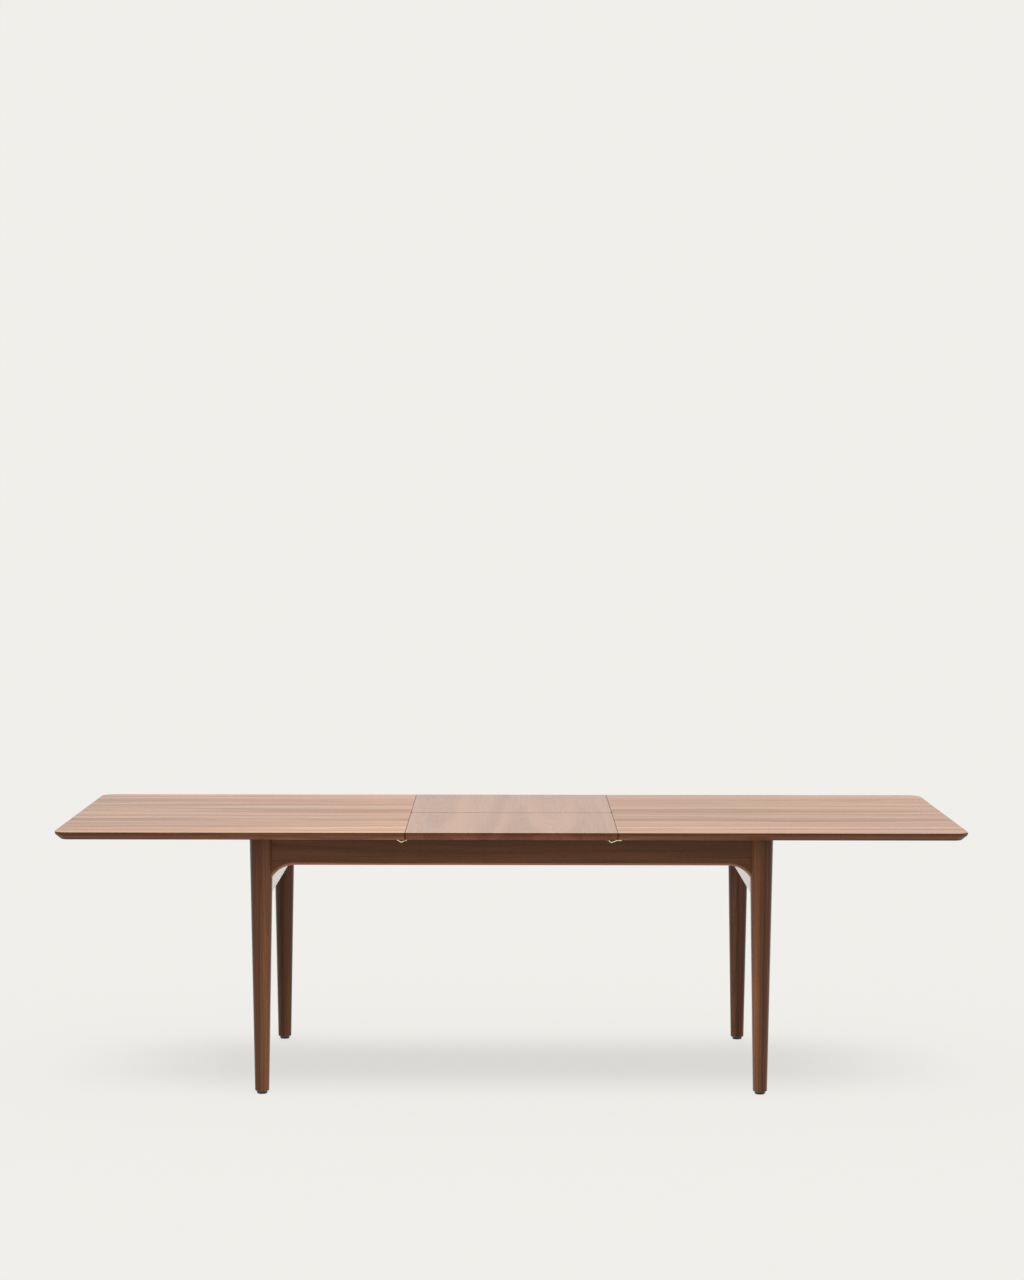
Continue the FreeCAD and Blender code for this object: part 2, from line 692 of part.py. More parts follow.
# catch pivot: shoulder screw with a washer above the lever and a domed head below it
pivot = fuse("catch_pivot_master",
             cyl("catch_pivot_shank", peg_r, 12, 0, 0, 0),
             cyl("catch_pivot_washer", 5, 0.5, 0, 0, -0.5),
             cyl("catch_pivot_shoulder", 3, 3.3, 0, 0, -3.3),
             cone("catch_pivot_head", 3.6, 4.8, 1.2, 0, 0, -4.4))
xa, xb = leaf_len / 2 + latch_xl, leaf_len / 2 + latch_xr
group("catch_pivots_left", pivot, [at(-xa, -latch_y, under_z + latch_sink), at(-xb, latch_y, under_z)])
group("catch_pivots_right", pivot, [at(xa, latch_y, under_z + latch_sink), at(xb, -latch_y, under_z)])

# ---- leaf panels ---------------------------------------------------------------------
axis_z = top_t + hinge_up                    # fold axis in a panel's local z
brk_screw_y = [-10.0, 10.0]
brk_screw_x = web_x - 14


def make_panel(label, sy):
    """Leaf panel, z 0 at its underside; sy -1 is the front one."""
    b = new_body(label)
    s = sketch(b, label + "_plan", "XY_Plane")
    y0, y1 = sy * top_w / 2, sy * fold_gap
    rect(s, -leaf_end, leaf_end, y0, y1)
    p = pad(b, s, top_t)
    c = bevel(b, p, lambda q, e: near(q.z, 0) and near(q.y, y0), label + "_bevel")
    blend = round_edges(b, c, lambda q, e: near(q.z, top_t - edge_land) and near(q.y, y0) and e.Length > 30, edge_blend, label + "_blend")
    low = round_edges(b, blend, lambda q, e: near(q.z, 0) and near(q.y, y0 - sy * edge_in, 0.5) and e.Length > 30, edge_low, label + "_low")
    fold = round_edges(b, low, lambda q, e: near(q.z, top_t) and near(q.y, y1), fold_arris, label + "_fold_arris")
    rim = round_edges(b, fold, lambda q, e: near(q.z, top_t) and near(q.y, y0), arris, label + "_arris")
    round_edges(b, rim, lambda q, e: near(q.z, top_t) and near(abs(q.x), leaf_end), joint_arris, label + "_joint_arris")
    # fold hinge seats in the end faces
    deep = 1.9 if sy < 0 else 3.9
    for sx in (-1, 1):
        h = sketch(b, "%s_seat_%s" % (label, "r" if sx > 0 else "l"), "YZ_Plane", sx * (leaf_end + 1))
        outline(h, [(sy * (hinge_y + 0.3), top_t - hinge_z - 0.3), (-sy * 0.5, top_t - hinge_z - 0.3), (-sy * 0.5, top_t + 1),
                    (sy * 5.3, top_t + 1), (sy * 5.3, top_t - 1.7), (sy * (hinge_y + 0.3), top_t - 1.7)])
        pocket(b, h, dim(deep) + 1, back=sx < 0)
        if sy < 0:
            k = sketch(b, "%s_eye_%s" % (label, "r" if sx > 0 else "l"), "YZ_Plane", sx * (leaf_end + 1))
            circle(k, 0, axis_z, hinge_er + 0.8)
            pocket(b, k, 4.9, back=sx < 0)
    # peg holes and bracket screw holes in the underside
    g = sketch(b, label + "_holes", "XY_Plane")
    circle(g, sy * (xa - peg_al), sy * latch_y, peg_r + 0.05)
    circle(g, -sy * (xb - peg_ar), sy * latch_y, peg_r + 0.05)
    pocket(b, g, peg_in + 0.5, back=True)
    if sy < 0:
        g = sketch(b, label + "_bracket_pilots", "XY_Plane")
        for sx in (-1, 1):
            for py in (piv_yf, piv_yr):
                for dy in brk_screw_y:
                    circle(g, sx * brk_screw_x, -py + dy, 1.8)
        pocket(b, g, 12, back=True)
    place(b, 0, 0, under_z)


make_panel("leaf_front_panel", -1)
make_panel("leaf_rear_panel", 1)

# fold hinges: a plate with an eye on each panel, at both ends of the fold line


def hinge_plate(label, sy, x0):
    body = fuse(label + "_solid",
                box(label + "_plate", x0, x0 + hinge_t, 3 if sy > 0 else -hinge_y, hinge_y if sy > 0 else -3, -hinge_z, -2),
                box(label + "_neck", x0, x0 + hinge_t, 0 if sy > 0 else -5, 5 if sy > 0 else 0, -4.2, -0.1),
                cyl(label + "_eye", hinge_er, hinge_t, x0, 0, hinge_up, "x"))
    return cut(label, body, cyl(label + "_bore", hinge_pr + (run_fit if sy > 0 else 0), hinge_t + 2, x0 - 1, 0, hinge_up, "x"))


lay_a, lay_b = leaf_end - 1.75, leaf_end - 3.75
for name, sy, x0 in (("front", -1, lay_a), ("rear", 1, lay_b)):
    right = hinge_plate("fold_plate_%s_r" % name, sy, x0)
    left = hinge_plate("fold_plate_%s_l" % name, sy, -x0 - hinge_t)
    doc.recompute()
    f = doc.addObject("Part::Feature", "group_fold_plates_" + name)
    f.Label = "fold_hinge_plates_" + name
    f.Shape = Part.makeCompound([q.copy() for q in right.Shape.Solids + left.Shape.Solids])
    f.Placement = at(0, 0, top_z)
    parts[f.Label] = f
fold_pin = cyl("fold_pin_master", hinge_pr, 3.5, 0, 0, 0, "x")
group("fold_hinge_pins", fold_pin, [at(lay_b, 0, top_z + hinge_up), at(-lay_b - 3.5, 0, top_z + hinge_up)])

# catch pegs
peg = fuse("peg_master", cyl("peg_rod", peg_r, peg_in + peg_out - 0.8, 0, 0, 0.8 - peg_out),
           cone("peg_end", peg_r - 0.7, peg_r, 0.8, 0, 0, -peg_out))
group("leaf_front_pegs", peg, [at(-(xa - peg_al), -latch_y, under_z), at(xb - peg_ar, -latch_y, under_z)])
group("leaf_rear_pegs", peg, [at(xa - peg_al, latch_y, under_z), at(-(xb - peg_ar), latch_y, under_z)])

# arm bracket, right-hand: a flange under the panel and a web that carries the pivot pin
web_low = -(piv_drop + 8)
bracket = cut("bracket_master",
              fuse("bracket_solid",
                   box("bracket_flange_plate", web_x - brk_f, web_x + sheet_t, -brk_w / 2, brk_w / 2, -sheet_t, 0),
                   box("bracket_web_plate", web_x, web_x + sheet_t, -brk_w / 2 + 6, brk_w / 2 - 6, -piv_drop, 0),
                   cyl("bracket_web_eye", 8, sheet_t, web_x, 0, -piv_drop, "x")),
              fuse("bracket_holes", cyl("bracket_pin_hole", pin_r, sheet_t + 2, web_x - 1, 0, -piv_drop, "x"),
                   cyl("bracket_screw_a", 1.9, 6, brk_screw_x, -10, -4), cyl("bracket_screw_b", 1.9, 6, brk_screw_x, 10, -4)))
bracket_seats = ([at(0, -y, under_z) for y in (piv_yf, piv_yr)]
                 + [at(0, -y, under_z, HALF_TURN) for y in (piv_yf, piv_yr)])
group("leaf_arm_brackets", bracket, bracket_seats)

# pivot pin through the bracket's web and the arm's eye, headed at both ends
pin = fuse("pin_master", cyl("pin_rod", pin_r, 14, web_x - 1.5, 0, 0, "x"),
           cyl("pin_head", 5, 1.6, web_x - 1.7, 0, 0, "x"), cyl("pin_clip", 4.6, 1.4, arm_x + arm_t / 2 + 0.4, 0, 0, "x"))
group("leaf_pivot_pins", pin, [at(0, -y, under_z - piv_drop) for y in (piv_yf, piv_yr)]
      + [at(0, -y, under_z - piv_drop, HALF_TURN) for y in (piv_yf, piv_yr)])

pan = cut("pan_screw_master",
          fuse("pan_screw_solid", cyl("pan_screw_shank", 1.75, 13, 0, 0, -2.1), cone("pan_screw_head", 2.4, 3.4, 1.8, 0, 0, -3.9)),
          box("pan_screw_slot", -4, 4, -0.4, 0.4, -4.5, -3.1))
group("leaf_bracket_screws", pan,
      [at(sx * brk_screw_x, -y + dy, under_z) for sx in (-1, 1) for y in (piv_yf, piv_yr) for dy in brk_screw_y])

# ---- swing arms ----------------------------------------------------------------------
def arm_rotation():
    """Arm length along the front-upper diagonal, thickness along x."""
    m = FreeCAD.Matrix()
    lx, lz = V(0, -1, 1).normalize(), V(1, 0, 0)
    ly = lz.cross(lx)
    m.A11, m.A21, m.A31 = lx.x, lx.y, lx.z
    m.A12, m.A22, m.A32 = ly.x, ly.y, ly.z
    m.A13, m.A23, m.A33 = lz.x, lz.y, lz.z
    return FreeCAD.Placement(m).Rotation


def make_arm(label, sx, shaft_y):
    """Flat arm with an eye for the leaf's pin at one end and a hub on the shaft at the other."""
    solid = fuse(label + "_solid",
                 box(label + "_bar", 0, arm_len, -arm_w / 2, arm_w / 2, -arm_t / 2, arm_t / 2),
                 cyl(label + "_eye", arm_w / 2, arm_t, arm_len, 0, -arm_t / 2),
                 cyl(label + "_hub", arm_w / 2 + 1.5, hub_l, 0, 0, -arm_t / 2 if sx > 0 else arm_t / 2 - hub_l))
    holes = fuse(label + "_holes", cyl(label + "_pin_hole", pin_r + run_fit, 40, arm_len, 0, -20),
                 cyl(label + "_shaft_hole", shaft_r, 40, 0, 0, -20))
    f = cut("arm_" + label, solid, holes)
    f.Label = label
    parts[label] = f
    place(f, sx * arm_x, -shaft_y, shaft_z, arm_rotation())


for name, y in (("front", shaft_yf), ("rear", shaft_yr)):
    c = cyl("shaft_" + name, shaft_r, shaft_l, -shaft_l / 2, -y, shaft_z, "x")
    c.Label = name + "_swing_shaft"
    parts[c.Label] = c
    make_arm(name + "_arm_left", -1, y)
    make_arm(name + "_arm_right", 1, y)
collar = cut("collar_master", cyl("collar_body", collar_r, collar_l, 0, 0, 0, "x"),
             fuse("collar_holes", cyl("collar_bore", shaft_r, collar_l + 2, -1, 0, 0, "x"),
                  cyl("collar_set_screw", 2, 12, collar_l / 2, 0, 0)))
collar_x = inner - bush_ft - 0.4 - collar_l
for name, y in (("front", shaft_yf), ("rear", shaft_yr)):
    group(name + "_shaft_collars", collar, [at(collar_x, -y, shaft_z), at(-collar_x, -y, shaft_z, HALF_TURN)])

# ---- catch levers --------------------------------------------------------------------


def make_lever(label, pts, peg_at, lead, x, y, angle):
    """V-shaped strip: pivot pad at local 0, hook pad at the far end with a side notch for the peg."""
    b = new_body(label)
    s = sketch(b, label + "_strip", "XZ_Plane")
    top = [(dim(px), dim(pz)) for px, pz in pts]
    under = [(px, pz - strip_t) for px, pz in reversed(top)]
    outline(s, top + under)
    p = pad(b, s, strip_w, both=True)
    far = pts[-1][0]
    r = round_edges(b, p, lambda q, e: (near(q.x, pts[0][0]) or near(q.x, far)) and near(abs(q.y), strip_w / 2), 4.5, label + "_ends")
    h = sketch(b, label + "_pivot_hole", "XY_Plane", 4)
    circle(h, 0, 0, 3 + run_fit)
    pocket(b, h, 16)
    n = sketch(b, label + "_notch", "XY_Plane", 4)
    w = peg_r + 0.6
    rect(n, peg_at - w, peg_at + w, -0.9 * lead - 2.2 * lead, strip_w * lead)
    pocket(b, n, 16)
    place(b, x, y, under_z, Rot(V(0, 0, 1), angle))


a_pts = [(-6.0, latch_sink - 0.6), (5.8, latch_sink - 0.6), (22.3, strip_t - latch_drop), (33.5, -3.2), (46.2, -3.2)]
b_pts = [(-6.0, -0.6), (5.8, -0.6), (24.4, strip_t - latch_drop), (38.5, -1.2), (43.3, -1.2)]
make_lever("catch_lever_front_left", a_pts, peg_al, -1, -xa, -latch_y, open_deg.v)
make_lever("catch_lever_front_right", b_pts, peg_ar, 1, xb, -latch_y, 180 - open_deg.v)
make_lever("catch_lever_rear_right", a_pts, peg_al, -1, xa, latch_y, 180 + open_deg.v)
make_lever("catch_lever_rear_left", b_pts, peg_ar, 1, -xb, latch_y, -open_deg.v)

# ---- check and write -----------------------------------------------------------------
doc.recompute()
bad = []
for o in doc.Objects:
    if any(w in o.State for w in ("Invalid", "Error")):
        bad.append((o.Name, o.State))
for name, o in parts.items():
    sh = o.Shape
    if sh.isNull() or not sh.isValid() or not sh.Solids:
        bad.append((name, "shape"))
if bad:
    raise RuntimeError("failed objects: %r" % bad)
os.makedirs("parts", exist_ok=True)
for name, o in parts.items():
    o.Shape.exportStep("parts/%s.step" % name)
    bb = o.Shape.BoundBox
    print("%-26s %2d solids %10.0f mm3  x %8.1f %8.1f  y %8.1f %8.1f  z %7.1f %7.1f"
          % (name, len(o.Shape.Solids), o.Shape.Volume, bb.XMin, bb.XMax, bb.YMin, bb.YMax, bb.ZMin, bb.ZMax))
print(len(parts), "nodes")
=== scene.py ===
"""Extending dining table in satin walnut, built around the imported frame, with its studio and camera."""
import json
import math

import bpy
import numpy as np
from mathutils import Matrix, Vector

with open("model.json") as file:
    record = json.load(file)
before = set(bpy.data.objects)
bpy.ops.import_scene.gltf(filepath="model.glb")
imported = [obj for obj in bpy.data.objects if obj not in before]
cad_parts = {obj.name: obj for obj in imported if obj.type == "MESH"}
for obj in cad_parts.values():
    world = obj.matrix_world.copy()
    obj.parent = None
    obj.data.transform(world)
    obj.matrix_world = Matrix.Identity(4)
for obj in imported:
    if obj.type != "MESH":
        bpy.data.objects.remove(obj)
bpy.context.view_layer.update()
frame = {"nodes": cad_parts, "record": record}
nodes = frame["nodes"]
scene = bpy.context.scene

PALE = (0.871, 0.863, 0.831)  # the studio's paper, linear
TOP_Z = 0.766  # the show face of the top, metres


# ---------------------------------------------------------------- shader building
class Tree:
    """Short names for the shader nodes used below. A socket takes a number, a tuple or another node's output."""

    def __init__(self, owner):
        owner.use_nodes = True
        self.t = owner.node_tree
        self.t.nodes.clear()

    def new(self, kind, **props):
        n = self.t.nodes.new(kind)
        for k, v in props.items():
            setattr(n, k, v)
        return n

    def put(self, socket, value):
        if hasattr(value, "is_linked"):
            self.t.links.new(value, socket)
        elif value is not None:
            if isinstance(value, tuple) and len(value) == 3 and socket.type == "RGBA":
                value = value + (1.0,)
            socket.default_value = value

    def math(self, op, a, b=None, c=None, clamp=False):
        n = self.new("ShaderNodeMath", operation=op, use_clamp=clamp)
        for s, v in zip(n.inputs, (a, b, c)):
            self.put(s, v)
        return n.outputs[0]

    def vec(self, op, a, b=None):
        n = self.new("ShaderNodeVectorMath", operation=op)
        self.put(n.inputs[0], a)
        self.put(n.inputs[1], b)
        return n.outputs[0]

    def combine(self, x, y, z):
        n = self.new("ShaderNodeCombineXYZ")
        for s, v in zip(n.inputs, (x, y, z)):
            self.put(s, v)
        return n.outputs[0]

    def split(self, v):
        n = self.new("ShaderNodeSeparateXYZ")
        self.put(n.inputs[0], v)
        return n.outputs[0], n.outputs[1], n.outputs[2]

    def noise(self, v, scale=1.0, detail=2.0, rough=0.5, distort=0.0, colour=False):
        n = self.new("ShaderNodeTexNoise", noise_dimensions="3D")
        self.put(n.inputs["Vector"], v)
        n.inputs["Scale"].default_value = scale
        n.inputs["Detail"].default_value = detail
        n.inputs["Roughness"].default_value = rough
        n.inputs["Distortion"].default_value = distort
        return n.outputs[1 if colour else 0]

    def white(self, w):
        n = self.new("ShaderNodeTexWhiteNoise", noise_dimensions="1D")
        self.put(n.inputs["W"], w)
        return n.outputs["Color"]

    def span(self, v, a, b, lo=0.0, hi=1.0, smooth=True):
        n = self.new("ShaderNodeMapRange", interpolation_type="SMOOTHSTEP" if smooth else "LINEAR")
        for s, x in zip(n.inputs, (v, a, b, lo, hi)):
            self.put(s, x)
        return n.outputs[0]

    def mix(self, f, a, b, blend="MIX"):
        n = self.new("ShaderNodeMix", data_type="RGBA", blend_type=blend)
        self.put(n.inputs[0], f)
        self.put(n.inputs[6], a)
        self.put(n.inputs[7], b)
        return n.outputs[2]

    def bump(self, height, strength, distance):
        n = self.new("ShaderNodeBump")
        n.inputs["Strength"].default_value = strength
        n.inputs["Distance"].default_value = distance
        self.put(n.inputs["Height"], height)
        return n.outputs["Normal"]

    def principled(self, colour, rough, normal=None, **fixed):
        n = self.new("ShaderNodeBsdfPrincipled")
        self.put(n.inputs["Base Color"], colour)
        self.put(n.inputs["Roughness"], rough)
        if normal is not None:
            self.put(n.inputs["Normal"], normal)
        for k, v in fixed.items():
            self.put(n.inputs[k.replace("_", " ")], v)
        out = self.new("ShaderNodeOutputMaterial")
        self.t.links.new(n.outputs[0], out.inputs[0])


def shades(colour, *factors):
    return [tuple(c * f for c in colour) for f in factors]


def wood(name, axis, seed, light, mid, dark, shift=0.0, strip=None, pith=(0.07, 0.05), rings=210.0, tilt=0.03,
         ring_depth=0.22, contrast=1.0, rough=(0.26, 0.36), edge=None, pores=0.45, streaks=(), shine=0.5,
         spread=0.16, joint_shade=(), wear_and_painted_highlight=None, figure=0.0, coat=None, under=None, fine=1.0, drift=None):
    """Straight-grown hardwood as a solid texture. axis is the grain direction. strip lays veneer leaves of that width
    side by side.
    edge = (light, mid, dark) colours the edges of a top, and under = (light, mid, dark) its underside. streaks =
    (place, width, gain) are long paler or darker bands.
    The joint tuples (coordinate, distance from the middle, width) paint shade into a joint: its arrises, and the end
    faces near the outer edge, are darkened and lose their sheen.
    The lower-arris tuple (half length, height, radius, width, colour, share) is a painted highlight: a paler lower
    arris that follows a rail's haunches.
    figure makes the dark grain duller than the pale. fine above 1 narrows the figure. drift = (x0, x1, gain0, gain1) is
    a slow change of tone along the table. coat = (weight, roughness, index) is a lacquer film."""
    m = bpy.data.materials.new(name)
    t = Tree(m)
    x, y, z = t.split(t.new("ShaderNodeTexCoord").outputs["Object"])
    along, a, b = {"X": (x, y, z), "Y": (y, x, z), "Z": (z, x, y)}[axis]
    if shift:
        along = t.math("ADD", along, shift)
    across = a
    if strip:
        index = t.math("FLOOR", t.math("DIVIDE", t.math("ADD", a, 10.0), strip))
        r1, r2, r3 = t.split(t.white(t.math("ADD", index, seed * 7.31)))
        centre = t.math("MULTIPLY", t.math("ADD", index, 0.5), strip)
        a = t.math("SUBTRACT", t.math("ADD", a, 10.0), centre)
        along = t.math("ADD", along, t.math("MULTIPLY", r3, 4.0))
        offset_a = t.math("MULTIPLY", t.math("SUBTRACT", r1, 0.5), 0.16)
        offset_b = t.math("MULTIPLY_ADD", r2, 0.10, 0.05)
        lean = t.math("MULTIPLY", t.math("SUBTRACT", r3, 0.5), 2.0 * tilt)
        tone = t.math("MULTIPLY_ADD", r1, spread, 1.0 - 0.5 * spread)
        place = t.combine(along, t.math("ADD", a, t.math("MULTIPLY", index, 1.7)), t.math("SUBTRACT", b, TOP_Z))
        b = t.math("SUBTRACT", b, TOP_Z)
    else:
        offset_a, offset_b, lean, tone = pith[0], pith[1], tilt, None
        place = t.combine(along, a, b)
    place = t.vec("ADD", place, (seed * 1.37, seed * 2.11, seed * 0.73))

    def stretched(l, c, **k):
        return t.noise(t.vec("MULTIPLY", place, (l, c, c)), **k)

    wander = t.math("MULTIPLY_ADD", stretched(1.3, 7.0, detail=2.0), 0.034, -0.017)
    ripple = t.math("MULTIPLY_ADD", stretched(9.0, 40.0, detail=1.0), 0.0030, -0.0015)
    da, db = t.math("ADD", a, offset_a), t.math("ADD", b, offset_b)
    r = t.math("SQRT", t.math("ADD", t.math("MULTIPLY", da, da), t.math("MULTIPLY", db, db)))
    r = t.math("ADD", r, t.math("MULTIPLY", along, lean))
    r = t.math("ADD", t.math("ADD", r, wander), ripple)
    turn = t.math("FRACT", t.math("MULTIPLY", r, rings))
    late = t.math("MULTIPLY", t.math("POWER", turn, 2.2), t.span(turn, 1.0, 0.93))
    broad = t.span(stretched(0.9, 16.0 * fine, detail=3.0, rough=0.55), 0.30, 0.70)
    slow = t.span(t.noise(t.combine(t.math("MULTIPLY", along, 0.35), t.math("MULTIPLY", r, 34.0 * fine), seed * 3.3), detail=2.0), 0.32, 0.68)
    streak = stretched(2.6, 170.0, detail=3.0, rough=0.6)
    fibre = stretched(16.0, 950.0, detail=2.0, rough=0.6)
    pore = t.span(stretched(70.0, 2100.0, detail=1.0), 0.60, 0.70)

    def tint(light, mid, dark):
        c = t.mix(t.math("MULTIPLY", broad, 0.75 * contrast), mid, light)
        c = t.mix(t.math("MULTIPLY", slow, 0.70 * contrast), c, dark)
        return c

    colour = tint(light, mid, dark)
    if edge:
        face = t.span(z, TOP_Z - 0.00045, TOP_Z - 0.00015)
        rest = tint(*edge)
        if under:
            rest = t.mix(t.span(z, TOP_Z - 0.0224, TOP_Z - 0.0227), rest, tint(*under))
        colour = t.mix(face, rest, colour)
        shine = t.span(face, 0.0, 1.0, 0.12, shine)
    value = t.math("SUBTRACT", 1.0, t.math("MULTIPLY", late, ring_depth * contrast))
    value = t.math("MULTIPLY", value, t.math("MULTIPLY_ADD", streak, 0.55 * contrast, 1.0 - 0.275 * contrast))
    value = t.math("MULTIPLY", value, t.math("MULTIPLY_ADD", fibre, 0.34, 0.83))
    if tone is not None:
        value = t.math("MULTIPLY", value, tone)
    # Lipping streaks on the edges, with painted light: painted shade along the edge's upper part under the top's arris,
    # and on the lower bevel and underside a painted highlight along the middle of the table that turns darker towards
    # its ends.
    if edge:
        lipping_and_painted_light = stretched(9.0, 240.0, detail=2.0, rough=0.55)
        lipping_and_painted_light = t.math("MULTIPLY_ADD", lipping_and_painted_light, 0.9, 0.55)
        lipping_and_painted_light = t.math("MULTIPLY", lipping_and_painted_light, t.span(z, TOP_Z - 0.009, TOP_Z - 0.002, 1.0, 0.62))
        low = t.math("SUBTRACT", t.span(t.math("ABSOLUTE", x), 0.60, 1.25, 1.18, 0.57, smooth=False), 1.0)
        lipping_and_painted_light = t.math("MULTIPLY", lipping_and_painted_light, t.math("MULTIPLY_ADD", t.span(z, TOP_Z - 0.011, TOP_Z - 0.020, 0.0, 1.0), low, 1.0))
        value = t.math("MULTIPLY", value, t.math("ADD", face, t.math("MULTIPLY", t.math("SUBTRACT", 1.0, face), lipping_and_painted_light)))
    # Painted shade in the joints: along each joint the arris, and the end faces near the table's outer edge, are
    # darkened to a tenth and lose their sheen.
    for which, place_of, width in joint_shade:
        off = t.math("ABSOLUTE", t.math("SUBTRACT", t.math("ABSOLUTE", {"x": x, "y": y}[which]), place_of))
        below = t.span(z, TOP_Z - 0.0016, TOP_Z - 0.0030)
        bevel = t.span(z, TOP_Z - 0.023, TOP_Z - 0.008, 0.481, 0.500, smooth=False)
        inside = t.math("MULTIPLY", below, t.span(t.math("SUBTRACT", bevel, t.math("ABSOLUTE", y)), 0.0020, 0.0032))
        off = t.math("DIVIDE", off, t.math("ADD", below, 1.0))
        clear = t.math("MAXIMUM", t.span(off, width * 0.6, width), inside)
        value = t.math("MULTIPLY", value, t.math("MULTIPLY_ADD", clear, 0.90, 0.10))
        shine = t.math("MULTIPLY", shine, clear)
    # Painted highlight: a band along a rail's lower arris and round its haunches is painted paler, standing in for the
    # light that rounded arris catches.
    if wear_and_painted_highlight:
        half, low, radius, width, painted_highlight_colour, share = wear_and_painted_highlight
        past = t.math("MAXIMUM", t.math("SUBTRACT", t.math("ABSOLUTE", x), half), 0.0)
        rise = t.math("SUBTRACT", z, low - radius)
        rim = t.math("SQRT", t.math("ADD", t.math("MULTIPLY", past, past), t.math("MULTIPLY", rise, rise)))
        rim = t.math("ADD", t.math("SUBTRACT", rim, radius), t.math("MULTIPLY", ripple, 0.5))
        colour = t.mix(t.span(rim, width, width * 0.4, 0.0, share), colour, painted_highlight_colour)
    if drift:
        value = t.math("MULTIPLY", value, t.span(x, *drift, smooth=False))
    for centre, width, gain in streaks:
        near = t.math("ABSOLUTE", t.math("SUBTRACT", t.math("ADD", across, wander), centre))
        value = t.math("MULTIPLY", value, t.span(near, width, width * 0.25, 1.0, gain))
    value = t.math("MULTIPLY", value, t.math("SUBTRACT", 1.0, t.math("MULTIPLY", pore, pores)))
    colour = t.mix(1.0, colour, t.combine(value, value, value), "MULTIPLY")
    gloss = t.math("ADD", t.span(streak, 0.25, 0.75, rough[0], rough[1]), t.math("MULTIPLY", pore, 0.10))
    if figure:
        gloss = t.math("ADD", gloss, t.math("MULTIPLY", t.math("SUBTRACT", slow, broad), figure))
    height = t.math("SUBTRACT", t.math("MULTIPLY", fibre, 0.35), pore)
    fixed = {"Coat_Weight": coat[0], "Coat_Roughness": coat[1], "Coat_IOR": coat[2]} if coat else {}
    t.principled(colour, gloss, t.bump(height, 0.25, 0.00012), Specular_IOR_Level=shine, **fixed)
    return m


def metal(name, base, other, rough, seed, grain=(60.0, 60.0, 900.0)):
    """Plated or brushed metal: fine scratches along one way, cloudy plating, edges paler where the plating wears."""
    m = bpy.data.materials.new(name)
    t = Tree(m)
    place = t.vec("ADD", t.new("ShaderNodeTexCoord").outputs["Object"], (seed * 0.7, seed * 0.3, seed * 0.5))
    cloud = t.span(t.noise(place, scale=140.0, detail=3.0), 0.35, 0.65)
    brush = t.noise(t.vec("MULTIPLY", place, grain), scale=4.0, detail=3.0, rough=0.65)
    colour = t.mix(cloud, base, other)
    b = t.new("ShaderNodeBevel", samples=4)
    b.inputs["Radius"].default_value = 0.0007
    n = t.new("ShaderNodeNewGeometry").outputs["Normal"]
    dot = t.new("ShaderNodeVectorMath", operation="DOT_PRODUCT")
    t.put(dot.inputs[0], b.outputs[0])
    t.put(dot.inputs[1], n)
    wear_and_painted_highlight = t.math("MULTIPLY", t.span(dot.outputs["Value"], 0.985, 0.90), 0.45)
    colour = t.mix(wear_and_painted_highlight, colour, tuple(min(1.0, c * 1.25 + 0.05) for c in base))
    gloss = t.span(brush, 0.3, 0.7, rough[0], rough[1])
    t.principled(colour, gloss, t.bump(brush, 0.15, 0.00005), Metallic=1.0)
    return m


def plastic(name, base, rough):
    m = bpy.data.materials.new(name)
    t = Tree(m)
    place = t.new("ShaderNodeTexCoord").outputs["Object"]
    grit = t.noise(place, scale=1600.0, detail=2.0)
    scuff = t.span(t.noise(place, scale=90.0, detail=3.0), 0.45, 0.75)
    colour = t.mix(t.math("MULTIPLY", scuff, 0.5), base, tuple(c * 2.2 + 0.01 for c in base))
    t.principled(colour, t.span(grit, 0.3, 0.7, rough - 0.06, rough + 0.08), t.bump(grit, 0.3, 0.0001))
    return m


def dress(node, material):
    o = nodes[node]
    for s in o.material_slots:
        s.link = "OBJECT"
        s.material = material


# ---------------------------------------------------------------- finishes
TOP = ((0.352, 0.175, 0.081), (0.270, 0.125, 0.055), (0.164, 0.069, 0.028))
EDGE = ((0.199, 0.074, 0.037), (0.150, 0.054, 0.025), (0.096, 0.032, 0.014))
LEAF = ((0.288, 0.147, 0.078), (0.236, 0.115, 0.059), (0.168, 0.078, 0.038))
LEAF_EDGE = ((0.196, 0.064, 0.028), (0.149, 0.047, 0.020), (0.095, 0.029, 0.012))
UNDER = ((0.205, 0.098, 0.046), (0.155, 0.070, 0.031), (0.098, 0.041, 0.018))
LEG = ((0.140, 0.056, 0.025), (0.101, 0.038, 0.016), (0.060, 0.021, 0.009))
END = ((0.218, 0.084, 0.037), (0.172, 0.065, 0.028), (0.116, 0.043, 0.018))
RAIL = ((0.156, 0.058, 0.025), (0.123, 0.045, 0.019), (0.083, 0.030, 0.012))
BEECH = ((0.62, 0.45, 0.30), (0.54, 0.37, 0.23), (0.44, 0.28, 0.165))

